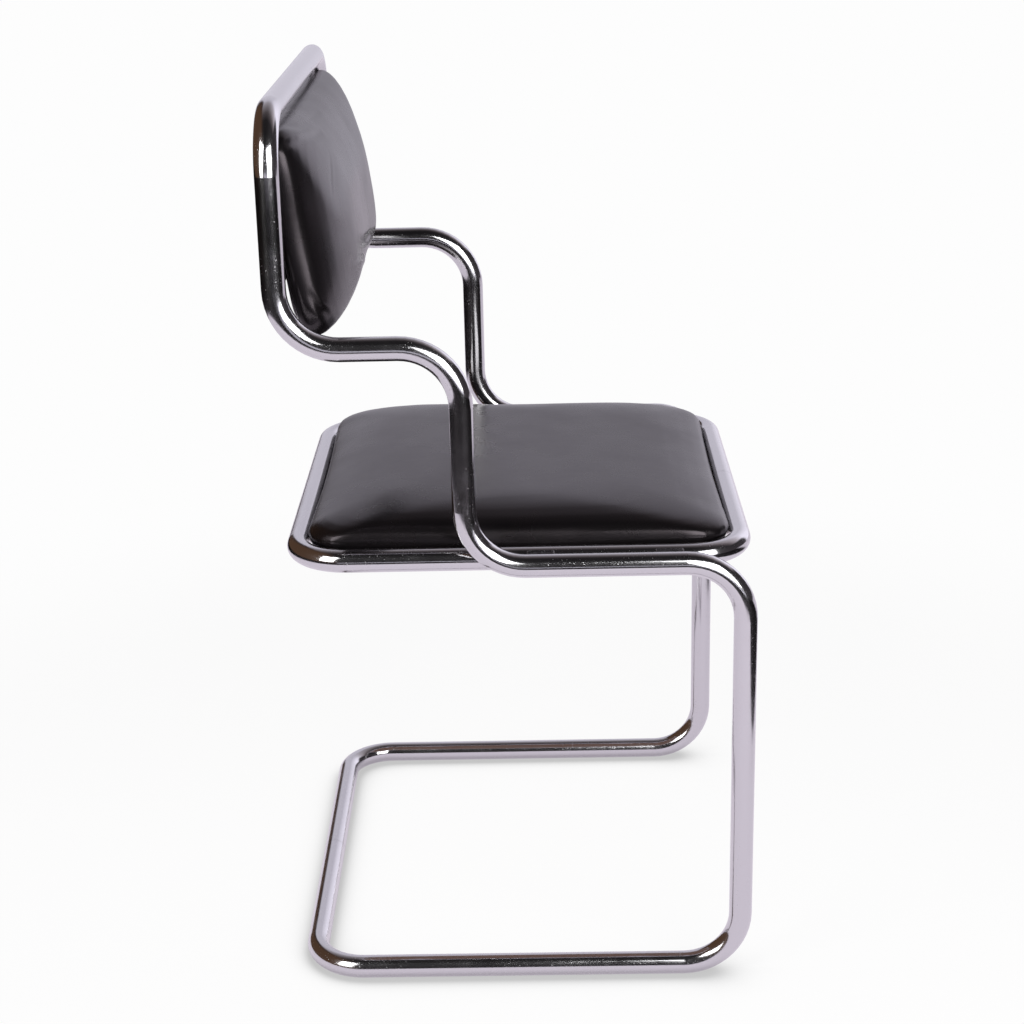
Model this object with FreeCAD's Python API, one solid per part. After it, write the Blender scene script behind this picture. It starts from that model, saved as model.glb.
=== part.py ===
import FreeCAD, Part
import math
import os

from FreeCAD import Placement, Rotation, Vector

# A cantilever armchair of bent chromed tube with a leather seat and back.
# Millimetres. +Z is up, the chair faces -Y and is symmetrical about the plane X = 0.
# The origin is on the floor, under the middle of the chair's box.
# Left and right in the names of pieces are as seen from the front: left is -X.

# Main frame: one long tube, bent into both sides, the top rail and the rear floor bar
tube_diameter = 22.0
tube_wall = 2.0
frame_width = 486.0
frame_depth = 418.0
seat_run_height = 429.0
arm_rise = 207.0
back_rise = 205.0
arm_length = 161.0
side_bend_radius = 55.0
corner_bend_radius = 50.0

# Both tube loops close in a butt joint over a sleeve
butt_gap = 0.3
sleeve_length = 80.0
sleeve_wall = 1.5
sleeve_clearance = 0.1

# Seat frame: a closed loop of the same tube, between the runs of the main frame
seat_frame_depth = 418.0
seat_frame_drop = 2.0
seat_frame_gap = 5.0
seat_frame_corner_radius = 50.0
vent_hole_diameter = 5.0
vent_hole_from_corner = 2.0

# Spacers and the screws through them
spacer_length = 26.0
spacer_width = 13.0
spacer_height = 17.0
spacer_from_bend = 1.0
spacer_edge_radius = 2.0
screw_diameter = 6.0
screw_hole_clearance = 0.5
frame_screw_head_diameter = 10.5
frame_screw_head_height = 2.5
frame_screw_head_edge_radius = 0.8
frame_screw_reach = 13.0
hex_socket_width = 4.0
hex_socket_depth = 1.6
rivet_nut_diameter = 9.0
rivet_nut_length = 12.0
rivet_nut_flange_diameter = 13.0
rivet_nut_flange = 0.8

# Seat cushion
seat_side_gap = 1.8
seat_end_gap = 1.8
seat_corner_radius = 38.0
seat_cover_thickness = 1.2
seat_board_thickness = 10.0
seat_board_clearance = 0.2
seat_lower_inset = 1.6
seat_lower_height = 14.2
seat_edge_height = 20.5
seat_crown_rise = 36.0
seat_crown_reach = 160.0
seat_crown_lean = 1.0
seat_side_draw = 2.5
seat_corner_growth = 0.2
seat_hem_width = 30.0
dust_cover_thickness = 0.8
dust_cover_inset = 8.0

# Tabs inside the seat frame that carry the seat board
tab_thickness = 3.0
seat_tab_width = 28.0
seat_tab_length = 46.0
seat_tab_spacing = 260.0
seat_screw_from_end = 13.0

# Back pad
back_tilt = 8.4
back_plane_from_uprights = 6.5
back_top_gap = 11.0
back_side_gap = 4.0
back_half_height = 91.5
back_corner_radius = 32.0
back_corner_growth = 0.36
back_cover_thickness = 1.2
back_rear_roll = 8.0
back_edge_depth = 15.0
back_crown_rise = 40.0
back_reach_across = 114.0
back_reach_upper = 75.0
back_reach_lower = 40.0
back_side_draw = 2.0
back_board_thickness = 10.0
back_hem_width = 30.0
rear_panel_inset = 16.0
rear_panel_thickness = 3.5
rear_panel_edge_radius = 1.5

# Tabs on the uprights that carry the back board
back_tab_width = 22.0
back_tab_reach = 44.0
back_tab_spacing = 66.0
back_tab_lift = 10.0

# Screws, washers and tee nuts of the seat and the back
pad_screw_head_diameter = 12.0
pad_screw_head_height = 3.5
pad_screw_dome = 1.2
washer_diameter = 16.0
washer_thickness = 1.2
tee_nut_flange_diameter = 19.0
tee_nut_flange = 1.5
tee_nut_barrel_diameter = 8.0
tee_nut_setback = 1.0
tee_nut_clearance = 0.2

# How the shapes are made: outlines per crown, how full the back's crown is between a straight
# slope at 1 and an ellipse at 2, the greatest corner radius, how far cuts overrun
seat_crown_steps = 8
back_roll_steps = 3
back_crown_steps = 7
back_crown_fullness = 1.72
loft_degree = 3
corner_share = 0.8
cut_overrun = 1.0

# Places worked out from the sizes above
tube_radius = tube_diameter / 2
bore_radius = tube_radius - tube_wall
side_x = frame_width / 2
rear_y = frame_depth / 2
front_y = -frame_depth / 2
arm_front_y = rear_y - arm_length
floor_bar_z = tube_radius
arm_height = seat_run_height + arm_rise
rail_height = arm_height + back_rise
screw_radius = screw_diameter / 2
screw_hole_radius = screw_radius + screw_hole_clearance / 2

seat_tube_x = side_x - tube_diameter - seat_frame_gap
seat_frame_height = seat_run_height - seat_frame_drop
seat_rear_y = seat_frame_depth / 2
seat_front_y = -seat_frame_depth / 2
seat_tab_top = seat_frame_height - tube_radius + tab_thickness
seat_base_z = seat_tab_top + dust_cover_thickness
seat_board_z = seat_base_z + seat_cover_thickness
seat_board_top = seat_board_z + seat_board_thickness
seat_half_width = seat_tube_x - tube_radius - seat_side_gap
seat_half_depth = seat_rear_y - tube_radius - seat_end_gap
seat_screw_x = seat_tube_x - seat_tab_length + seat_screw_from_end

back_plane_y = rear_y - back_plane_from_uprights
back_centre_height = rail_height - tube_radius - back_top_gap - back_half_height
back_half_width = side_x - tube_radius - back_side_gap
back_screw_x = side_x - tube_radius - back_tab_reach + back_tab_width / 2

X_AXIS = Vector(1, 0, 0)
Y_AXIS = Vector(0, 1, 0)
Z_AXIS = Vector(0, 0, 1)
SIDES = {"left": -1, "right": 1}


def point_from(corner, towards, distance):
    """The point at a distance from a corner, on the way towards another point."""
    step = towards - corner
    step.normalize()
    return corner + step * distance


def bent_path(start, corners, end):
    """A wire of straight runs joined by tangent arcs. corners holds (point, bend radius)."""
    edges = []
    here = start
    points = [start] + [corner for corner, _ in corners] + [end]
    for index, (corner, radius) in enumerate(corners, 1):
        to_last = points[index - 1] - corner
        to_next = points[index + 1] - corner
        half_angle = to_last.getAngle(to_next) / 2
        setback = radius / math.tan(half_angle)
        bend_start = point_from(corner, points[index - 1], setback)
        bend_end = point_from(corner, points[index + 1], setback)
        chord_middle = (bend_start + bend_end) / 2
        to_arc = radius / math.sin(half_angle) - radius
        bend_middle = point_from(corner, chord_middle, to_arc)
        edges.append(Part.LineSegment(here, bend_start).toShape())
        edges.append(Part.Arc(bend_start, bend_middle, bend_end).toShape())
        here = bend_end
    edges.append(Part.LineSegment(here, end).toShape())
    return Part.Wire(edges)


def swept_rod(path, start, direction, radius):
    profile = Part.Wire([Part.makeCircle(radius, start, direction)])
    return path.makePipeShell([profile], True, False)


def bent_tube(start, corners, end):
    """A round tube along the path, open at both ends. It prints how true its volume is."""
    path = bent_path(start, corners, end)
    direction = corners[0][0] - start
    tube = swept_rod(path, start, direction, tube_radius)
    tube = tube.cut(swept_rod(path, start, direction, bore_radius))
    section = math.pi * (tube_radius ** 2 - bore_radius ** 2)
    print("tube length %.1f mm, volume ratio %.5f" % (path.Length, tube.Volume / (section * path.Length)))
    return tube


def mirrored(shape):
    return shape.mirror(Vector(0, 0, 0), X_AXIS)


def group(shapes):
    return Part.makeCompound(shapes)


def rod(radius, length, start, direction):
    return Part.makeCylinder(radius, length, start, direction)


def block(low, high):
    return Part.makeBox(high.x - low.x, high.y - low.y, high.z - low.z, low)


def main_frame_side():
    """Corners of one side of the main frame, from the rear floor bar up to the top rail."""
    return [
        (Vector(side_x, rear_y, floor_bar_z), corner_bend_radius),
        (Vector(side_x, front_y, floor_bar_z), side_bend_radius),
        (Vector(side_x, front_y, seat_run_height), side_bend_radius),
        (Vector(side_x, arm_front_y, seat_run_height), side_bend_radius),
        (Vector(side_x, arm_front_y, arm_height), side_bend_radius),
        (Vector(side_x, rear_y, arm_height), side_bend_radius),
        (Vector(side_x, rear_y, rail_height), corner_bend_radius),
    ]


def frame_tube():
    right = main_frame_side()
    left = [(Vector(-corner.x, corner.y, corner.z), radius) for corner, radius in reversed(right)]
    start = Vector(butt_gap / 2, rear_y, floor_bar_z)
    end = Vector(-butt_gap / 2, rear_y, floor_bar_z)
    tube = bent_tube(start, right + left, end)
    for side in SIDES.values():
        for y in spacer_places():
            tube = tube.cut(rivet_nut_hole(side, y))
    return tube


def seat_frame_tube():
    corner = seat_frame_corner_radius
    corners = [
        (Vector(seat_tube_x, seat_front_y, seat_frame_height), corner),
        (Vector(seat_tube_x, seat_rear_y, seat_frame_height), corner),
        (Vector(-seat_tube_x, seat_rear_y, seat_frame_height), corner),
        (Vector(-seat_tube_x, seat_front_y, seat_frame_height), corner),
    ]
    start = Vector(butt_gap / 2, seat_front_y, seat_frame_height)
    end = Vector(-butt_gap / 2, seat_front_y, seat_frame_height)
    tube = bent_tube(start, corners, end)
    vent_y = seat_rear_y - corner - vent_hole_from_corner
    for side in SIDES.values():
        vent = Vector(side * seat_tube_x, vent_y, seat_frame_height - tube_diameter)
        tube = tube.cut(rod(vent_hole_diameter / 2, tube_diameter, vent, Z_AXIS))
        for y in spacer_places():
            hole_start = Vector(side * (seat_tube_x - tube_diameter), y, frame_screw_height())
            hole = rod(screw_hole_radius, 2 * tube_diameter, hole_start, X_AXIS * side)
            tube = tube.cut(hole)
    return tube


def joint_sleeve(centre):
    """The short tube inside a butt joint, along X."""
    radius = bore_radius - sleeve_clearance
    start = centre - X_AXIS * (sleeve_length / 2)
    sleeve = rod(radius, sleeve_length, start, X_AXIS)
    return sleeve.cut(rod(radius - sleeve_wall, sleeve_length, start, X_AXIS))


def frame_joint_sleeve():
    return joint_sleeve(Vector(0, rear_y, floor_bar_z))


def seat_frame_joint_sleeve():
    return joint_sleeve(Vector(0, seat_front_y, seat_frame_height))


def spacer_places():
    """Y of the two spacers of a side, at the ends of the main tube's straight run."""
    half = spacer_from_bend + spacer_length / 2
    return [front_y + side_bend_radius + half, arm_front_y - side_bend_radius - half]


def frame_screw_height():
    return (seat_run_height + seat_frame_height) / 2


def rivet_nut_hole(side, y):
    """The hole for a rivet nut, in the inner wall of the main tube."""
    start = Vector(side * side_x, y, frame_screw_height())
    return rod(rivet_nut_diameter / 2, tube_diameter, start, X_AXIS * -side)


def rivet_nut_face(side):
    """X of the top of the rivet nut's flange, which stands on the tube's inner wall."""
    return side * (side_x - tube_radius - rivet_nut_flange)


def seat_spacer(side, y):
    """A saddle block between the two tubes, hollowed to seat on both."""
    height = frame_screw_height()
    middle_x = side * (side_x - tube_radius - seat_frame_gap / 2)
    half = Vector(spacer_width / 2, spacer_length / 2, spacer_height / 2)
    centre = Vector(middle_x, y, height)
    body = block(centre - half, centre + half)
    edges_across = [e for e in body.Edges if e.BoundBox.XLength > spacer_width / 2]
    body = body.makeFillet(spacer_edge_radius, edges_across)
    along = Vector(0, y - spacer_length, 0)
    for x, z in ((side * side_x, seat_run_height), (side * seat_tube_x, seat_frame_height)):
        body = body.cut(rod(tube_radius, 2 * spacer_length, along + Vector(x, 0, z), Y_AXIS))
    hole_start = Vector(middle_x - spacer_width, y, height)
    body = body.cut(rod(screw_hole_radius, 2 * spacer_width, hole_start, X_AXIS))
    flange_start = Vector(side * side_x, y, height)
    flange_end = tube_radius + rivet_nut_flange + sleeve_clearance
    flange_radius = rivet_nut_flange_diameter / 2 + sleeve_clearance
    return body.cut(rod(flange_radius, flange_end, flange_start, X_AXIS * -side))


def frame_rivet_nut(side, y):
    """A threaded rivet nut: a barrel in the tube and a flange on its inner wall."""
    face = Vector(rivet_nut_face(side), y, frame_screw_height())
    outward = X_AXIS * side
    nut = rod(rivet_nut_diameter / 2 - sleeve_clearance, rivet_nut_length, face, outward)
    nut = nut.fuse(rod(rivet_nut_flange_diameter / 2, rivet_nut_flange, face, outward))
    return nut.cut(rod(screw_radius, rivet_nut_length, face, outward))


def hex_socket(mouth, inward):
    """The hexagonal hole of a socket screw, from its mouth inwards."""
    first = Y_AXIS * (hex_socket_width / math.sqrt(3))
    corners = [mouth + Rotation(inward, 60 * turn).multVec(first) for turn in range(7)]
    return Part.Face(Part.makePolygon(corners)).extrude(inward * hex_socket_depth)


def frame_screw(side, y):
    """A low-headed machine screw from inside the seat frame, with a hexagon socket."""
    seat = Vector(side * (seat_tube_x - tube_radius), y, frame_screw_height())
    outward = X_AXIS * side
    shank_length = tube_diameter + seat_frame_gap + frame_screw_reach - rivet_nut_flange
    screw = rod(screw_radius, shank_length, seat, outward)
    top = seat - outward * frame_screw_head_height
    head = rod(frame_screw_head_diameter / 2, frame_screw_head_height, top, outward)
    rim = [e for e in head.Edges if abs(e.CenterOfMass.x - top.x) < frame_screw_head_height / 2]
    rim = [e for e in rim if e.Length > frame_screw_head_diameter]
    head = head.makeFillet(frame_screw_head_edge_radius, rim)
    return screw.fuse(head).cut(hex_socket(top, outward)).removeSplitter()


def rounded_outline(half_x, half_y, radius, z, draw=0.0, lean=0.0, shift=0.0):
    """A closed outline with round corners. Its sides draw in, it leans about X and shifts along Y."""
    flat_x = half_x - radius
    flat_y = half_y - radius
    slant = radius * math.sqrt(0.5)
    edges = []
    quarter = Rotation(Z_AXIS, 90)
    turn = Rotation(Z_AXIS, 0)
    for index in range(4):
        along, across, reach = (flat_x, flat_y, half_y) if index % 2 == 0 else (flat_y, flat_x, half_x)
        side_start = Vector(-along, -reach, 0)
        side_end = Vector(along, -reach, 0)
        arc_middle = Vector(along + slant, -across - slant, 0)
        arc_end = Vector(along + radius, -across, 0)
        if draw > 0:
            side_middle = Vector(0, -reach + draw, 0)
            side = Part.Arc(turn.multVec(side_start), turn.multVec(side_middle), turn.multVec(side_end))
        else:
            side = Part.LineSegment(turn.multVec(side_start), turn.multVec(side_end))
        corner = Part.Arc(turn.multVec(side_end), turn.multVec(arc_middle), turn.multVec(arc_end))
        edges += [side.toShape(), corner.toShape()]
        turn = turn.multiply(quarter)
    outline = Part.Wire(edges)
    outline.Placement = Placement(Vector(0, shift, z), Rotation(X_AXIS, lean))
    return outline


def slab(half_x, half_y, radius, low, high):
    """A flat plate with round corners."""
    face = Part.Face(rounded_outline(half_x, half_y, radius, low))
    return face.extrude(Vector(0, 0, high - low))


def fitted_corner(radius, half_x, half_y):
    """The corner radius, or the greatest that an outline of this size takes."""
    return min(radius, corner_share * min(half_x, half_y))


def seat_corner(inset, skin):
    """Corner radius of the seat's outline, which grows as the outline is set in."""
    return seat_corner_radius + seat_corner_growth * inset - skin


def seat_crown_sections(skin):
    """The outlines that the crown of the seat runs through, taken in by a skin's thickness."""
    low = seat_base_z + seat_lower_height
    edge = seat_base_z + seat_edge_height
    levels = [(low, seat_lower_inset, 0.0, 0.0)]
    for step in range(seat_crown_steps + 1):
        angle = math.radians(90 * step / seat_crown_steps)
        rise = (seat_crown_rise - skin) * math.sin(angle)
        inset = seat_crown_reach * (1 - math.cos(angle))
        levels.append((edge + rise, inset, seat_side_draw, seat_crown_lean * math.sin(angle)))
    sections = []
    for z, inset, draw, lean in levels:
        half_x = seat_half_width - inset - skin
        half_y = seat_half_depth - inset - skin
        radius = fitted_corner(seat_corner(inset, skin), half_x, half_y)
        draw = draw * half_y / seat_half_depth
        sections.append(rounded_outline(half_x, half_y, radius, z, draw, lean))
    return sections


def seat_body(skin):
    """The crowned seat without a skin's thickness: upright lower sides under a lofted crown."""
    crown = Part.makeLoft(seat_crown_sections(skin), True, False, False, loft_degree)
    inset = seat_lower_inset + skin
    low = seat_base_z + skin
    high = seat_base_z + seat_lower_height
    radius = seat_corner(seat_lower_inset, skin)
    lower = slab(seat_half_width - inset, seat_half_depth - inset, radius, low, high)
    return crown.fuse(lower).removeSplitter()


def seat_board_outline():
    """Half width, half depth and corner radius of the seat board."""
    skin = seat_cover_thickness + seat_board_clearance
    inset = seat_lower_inset + skin
    return seat_half_width - inset, seat_half_depth - inset, seat_corner(seat_lower_inset, skin)


def seat_fastener_places():
    """X and Y of the four places where the seat board is screwed to its tabs."""
    half = seat_tab_spacing / 2
    return [(side * seat_screw_x, y) for side in SIDES.values() for y in (-half, half)]


def seat_board():
    half_x, half_y, radius = seat_board_outline()
    board = slab(half_x, half_y, radius, seat_board_z, seat_board_top)
    for x, y in seat_fastener_places():
        board = board.cut(tee_nut_space(seat_board_thickness, Vector(x, y, seat_board_z)))
    return board


def seat_foam():
    half_x, half_y, _ = seat_board_outline()
    below = block(
        Vector(-2 * half_x, -2 * half_y, seat_base_z - cut_overrun),
        Vector(2 * half_x, 2 * half_y, seat_board_top),
    )
    return seat_body(seat_cover_thickness).cut(below)


def seat_cover():
    """The leather cover, folded under the board in a hem that leaves its middle open."""
    inset = seat_hem_width + seat_lower_inset
    window = slab(
        seat_half_width - inset,
        seat_half_depth - inset,
        seat_corner_radius / 2,
        seat_base_z - cut_overrun,
        seat_board_z + cut_overrun,
    )
    cover = seat_body(0).cut(seat_body(seat_cover_thickness)).cut(window)
    for x, y in seat_fastener_places():
        start = Vector(x, y, seat_base_z - cut_overrun)
        cover = cover.cut(rod(screw_hole_radius, seat_board_thickness, start, Z_AXIS))
    return cover


def seat_dust_cover():
    inset = dust_cover_inset + seat_lower_inset
    sheet = slab(
        seat_half_width - inset,
        seat_half_depth - inset,
        seat_corner_radius - inset,
        seat_tab_top,
        seat_base_z,
    )
    for x, y in seat_fastener_places():
        start = Vector(x, y, seat_tab_top - cut_overrun)
        sheet = sheet.cut(rod(screw_hole_radius, tab_thickness, start, Z_AXIS))
    return sheet


def seat_tab(side, y):
    """A flat tab with a round end, welded to the lower inner side of the seat frame's tube."""
    half = seat_tab_width / 2
    low = seat_tab_top - tab_thickness
    end_x = seat_tube_x - seat_tab_length + half
    tab = block(Vector(end_x, y - half, low), Vector(seat_tube_x, y + half, seat_tab_top))
    tab = tab.fuse(rod(half, tab_thickness, Vector(end_x, y, low), Z_AXIS)).removeSplitter()
    tube_start = Vector(seat_tube_x, y - seat_tab_width, seat_frame_height)
    tab = tab.cut(rod(tube_radius, 2 * seat_tab_width, tube_start, Y_AXIS))
    tab = max(tab.Solids, key=lambda solid: solid.Volume)
    hole_start = Vector(seat_screw_x, y, low - tab_thickness)
    tab = tab.cut(rod(screw_hole_radius, 3 * tab_thickness, hole_start, Z_AXIS))
    return tab if side > 0 else mirrored(tab)


def tee_nut_space(board_thickness, base):
    """The hole that a tee nut needs through a board that starts at base."""
    hole = rod(tee_nut_barrel_diameter / 2, board_thickness, base, Z_AXIS)
    seat = base + Z_AXIS * (board_thickness - tee_nut_flange)
    return hole.fuse(rod(tee_nut_flange_diameter / 2 + tee_nut_clearance, tee_nut_flange, seat, Z_AXIS))


def tee_nut(board_thickness, base):
    """A tee nut let into the far face of a board that starts at base."""
    top = base + Z_AXIS * board_thickness
    barrel_radius = tee_nut_barrel_diameter / 2 - sleeve_clearance
    nut = rod(tee_nut_flange_diameter / 2, tee_nut_flange, top - Z_AXIS * tee_nut_flange, Z_AXIS)
    barrel_length = board_thickness - tee_nut_setback
    nut = nut.fuse(rod(barrel_radius, barrel_length, top - Z_AXIS * barrel_length, Z_AXIS))
    return nut.cut(rod(screw_radius, 2 * board_thickness, base - Z_AXIS * board_thickness, Z_AXIS))


def washer(base):
    """A washer whose upper face is at base."""
    start = base - Z_AXIS * washer_thickness
    ring = rod(washer_diameter / 2, washer_thickness, start, Z_AXIS)
    return ring.cut(rod(screw_hole_radius, washer_thickness, start, Z_AXIS))


def pad_screw(base, grip):
    """A domed screw below a washer at base, long enough to fill the tee nut beyond its grip."""
    under_head = base - Z_AXIS * washer_thickness
    head = rod(pad_screw_head_diameter / 2, pad_screw_head_height, under_head, Z_AXIS * -1)
    rim = [e for e in head.Edges if e.CenterOfMass.z < under_head.z - pad_screw_head_height / 2]
    rim = [e for e in rim if e.Length > pad_screw_head_diameter]
    head = head.makeFillet(pad_screw_head_height - pad_screw_dome, rim)
    screw = head.fuse(rod(screw_radius, washer_thickness + grip, under_head, Z_AXIS))
    mouth = under_head - Z_AXIS * pad_screw_head_height
    return screw.cut(hex_socket(mouth, Z_AXIS)).removeSplitter()


def seat_grip():
    """Length of a seat screw from the tab's lower face to the top of the board."""
    return tab_thickness + dust_cover_thickness + seat_cover_thickness + seat_board_thickness


def seat_fasteners(make):
    """The four copies of one seat fastener. make takes the point on the tab's lower face."""
    low = seat_tab_top - tab_thickness
    return group([make(Vector(x, y, low)) for x, y in seat_fastener_places()])


def seat_tee_nuts():
    rise = tab_thickness + dust_cover_thickness + seat_cover_thickness
    return seat_fasteners(lambda low: tee_nut(seat_board_thickness, low + Z_AXIS * rise))


def in_back(shape):
    """Puts a piece made flat, with +Z towards the sitter and +Y up the pad, into the back."""
    place = Placement(Vector(0, back_plane_y, back_centre_height), Rotation(X_AXIS, 90 - back_tilt))
    moved = shape.copy()
    moved.Placement = place.multiply(moved.Placement)
    return moved


def back_levels(skin):
    """Height, share of roll, share of crown and draw of each outline of the back pad."""
    levels = []
    for step in range(back_roll_steps):
        angle = math.radians(90 * step / back_roll_steps)
        z = skin + (back_rear_roll - skin) * (1 - math.cos(angle))
        levels.append((z, 1 - math.sin(angle), 0.0, 0.0))
    levels.append((back_rear_roll, 0.0, 0.0, back_side_draw / 2))
    power = 2 / back_crown_fullness
    for step in range(back_crown_steps):
        angle = math.radians(90 * step / back_crown_steps)
        z = back_edge_depth + (back_crown_rise - skin) * math.sin(angle) ** power
        levels.append((z, 0.0, 1 - math.cos(angle) ** power, back_side_draw))
    levels.append((back_edge_depth + back_crown_rise - skin, 0.0, 1.0, back_side_draw))
    return levels


def back_sections(skin):
    """The outlines of the back pad, from its flat rear to its crown, which is fullest low down."""
    reach = (back_reach_upper + back_reach_lower) / 2
    drop = (back_reach_upper - back_reach_lower) / 2
    sections = []
    for z, roll_share, crown_share, draw in back_levels(skin):
        roll = (back_rear_roll - skin) * roll_share
        inset = back_reach_across * crown_share
        half_x = back_half_width - roll - inset - skin
        half_y = back_half_height - roll - reach * crown_share - skin
        corner = back_corner_radius + back_corner_growth * inset - skin
        radius = fitted_corner(corner, half_x, half_y)
        draw = draw * half_y / back_half_height
        sections.append(rounded_outline(half_x, half_y, radius, z, draw, 0.0, -drop * crown_share))
    return sections


def back_body(skin):
    return Part.makeLoft(back_sections(skin), True, False, False, loft_degree)


def back_board_half_sizes():
    inset = back_rear_roll + back_side_draw
    return back_half_width - inset, back_half_height - inset, back_corner_radius - back_cover_thickness


def back_tab_places():
    """How far up the pad the lower and the upper tabs lie."""
    return [back_tab_lift - back_tab_spacing / 2, back_tab_lift + back_tab_spacing / 2]


def back_fastener_places():
    return [(side * back_screw_x, y) for side in SIDES.values() for y in back_tab_places()]


def back_board_plain():
    half_x, half_y, radius = back_board_half_sizes()
    low = back_cover_thickness
    return slab(half_x, half_y, radius, low, low + back_board_thickness)


def back_board():
    board = back_board_plain()
    for x, y in back_fastener_places():
        board = board.cut(tee_nut_space(back_board_thickness, Vector(x, y, back_cover_thickness)))
    return in_back(board)


def back_foam():
    return in_back(back_body(back_cover_thickness).cut(back_board_plain()))


def back_cover():
    """The leather cover, stapled behind the board in a hem that the rear panel hides."""
    half_x, half_y, radius = back_board_half_sizes()
    hem = back_hem_width
    window = slab(half_x - hem, half_y - hem, radius / 2, -cut_overrun, 2 * back_cover_thickness)
    cover = back_body(0).cut(back_body(back_cover_thickness)).cut(window)
    for x, y in back_fastener_places():
        start = Vector(x, y, -back_cover_thickness)
        cover = cover.cut(rod(screw_hole_radius, 3 * back_cover_thickness, start, Z_AXIS))
    return in_back(cover)


def back_rear_panel():
    """A thin covered panel over the hem, with softened edges."""
    inset = rear_panel_inset
    panel = slab(
        back_half_width - inset,
        back_half_height - inset,
        back_corner_radius - inset / 2,
        -rear_panel_thickness,
        0.0,
    )
    rear_edges = [e for e in panel.Edges if e.BoundBox.ZMax < -rear_panel_thickness / 2]
    panel = panel.makeFillet(rear_panel_edge_radius, rear_edges)
    for x, y in back_fastener_places():
        start = Vector(x, y, -2 * rear_panel_thickness)
        panel = panel.cut(rod(screw_hole_radius, 3 * rear_panel_thickness, start, Z_AXIS))
    return in_back(panel)


def back_tab(side, y):
    """A flat tab with a round end, welded to the inner side of an upright."""
    half = back_tab_width / 2
    low = -rear_panel_thickness - tab_thickness
    tab = block(Vector(back_screw_x, y - half, low), Vector(side_x, y + half, low + tab_thickness))
    tab = tab.fuse(rod(half, tab_thickness, Vector(back_screw_x, y, low), Z_AXIS)).removeSplitter()
    hole_start = Vector(back_screw_x, y, low - tab_thickness)
    tab = tab.cut(rod(screw_hole_radius, 3 * tab_thickness, hole_start, Z_AXIS))
    tab = in_back(tab)
    upright_start = Vector(side_x, rear_y, arm_height)
    tab = tab.cut(rod(tube_radius, rail_height - arm_height, upright_start, Z_AXIS))
    tab = min(tab.Solids, key=lambda solid: solid.BoundBox.XMin)
    return tab if side > 0 else mirrored(tab)


def back_grip():
    """Length of a back screw from the tab's rear face to the front of the board."""
    return tab_thickness + rear_panel_thickness + back_cover_thickness + back_board_thickness


def back_fasteners(make):
    """The four copies of one back fastener. make takes the point on the tab's rear face."""
    low = -rear_panel_thickness - tab_thickness
    return in_back(group([make(Vector(x, y, low)) for x, y in back_fastener_places()]))


def back_tee_nuts():
    rise = tab_thickness + rear_panel_thickness + back_cover_thickness
    return back_fasteners(lambda low: tee_nut(back_board_thickness, low + Z_AXIS * rise))


def nodes():
    """Every piece of the chair, by the name of its node."""
    pieces = {
        "frame_tube": frame_tube(),
        "frame_joint_sleeve": frame_joint_sleeve(),
        "seat_frame_tube": seat_frame_tube(),
        "seat_frame_joint_sleeve": seat_frame_joint_sleeve(),
    }
    front_spacer_y, rear_spacer_y = spacer_places()
    lower_tab_y, upper_tab_y = back_tab_places()
    for side_name, side in SIDES.items():
        pieces["seat_spacer_front_" + side_name] = seat_spacer(side, front_spacer_y)
        pieces["seat_spacer_rear_" + side_name] = seat_spacer(side, rear_spacer_y)
        pieces["seat_tab_front_" + side_name] = seat_tab(side, -seat_tab_spacing / 2)
        pieces["seat_tab_rear_" + side_name] = seat_tab(side, seat_tab_spacing / 2)
        pieces["back_tab_upper_" + side_name] = back_tab(side, upper_tab_y)
        pieces["back_tab_lower_" + side_name] = back_tab(side, lower_tab_y)
    spacer_spots = [(side, y) for side in SIDES.values() for y in spacer_places()]
    pieces["frame_rivet_nuts"] = group([frame_rivet_nut(side, y) for side, y in spacer_spots])
    pieces["frame_screws"] = group([frame_screw(side, y) for side, y in spacer_spots])
    pieces["seat_board"] = seat_board()
    pieces["seat_foam"] = seat_foam()
    pieces["seat_cover"] = seat_cover()
    pieces["seat_dust_cover"] = seat_dust_cover()
    pieces["seat_tee_nuts"] = seat_tee_nuts()
    pieces["seat_washers"] = seat_fasteners(washer)
    pieces["seat_screws"] = seat_fasteners(lambda low: pad_screw(low, seat_grip()))
    pieces["back_board"] = back_board()
    pieces["back_foam"] = back_foam()
    pieces["back_cover"] = back_cover()
    pieces["back_rear_panel"] = back_rear_panel()
    pieces["back_tee_nuts"] = back_tee_nuts()
    pieces["back_washers"] = back_fasteners(washer)
    pieces["back_screws"] = back_fasteners(lambda low: pad_screw(low, back_grip()))
    return pieces


os.makedirs("parts", exist_ok=True)
for name, shape in nodes().items():
    if not shape.isValid():
        print("invalid shape:", name)
    print("%-26s solids %d, volume %.1f cm3" % (name, len(shape.Solids), shape.Volume / 1000))
    shape.exportStep("parts/" + name + ".step")
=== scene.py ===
# %% [markdown]
# # A cantilever armchair of bent chromed tube
#
# On the real chair one long steel tube makes the floor runners, the front legs, the seat rails, the
# arms and the back rail. A second loop of the same tube holds the seat, and two leather pads on
# plywood boards finish it. This lesson dresses the measured frame: it lights a studio, polishes the
# tube, upholsters the pads and finishes the small fastenings. Lengths are in metres, +Z is up and the
# sitter faces -Y.

import math

import bmesh
import bpy
import numpy as np
from mathutils import Matrix, Vector, noise
from mathutils.bvhtree import BVHTree


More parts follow.
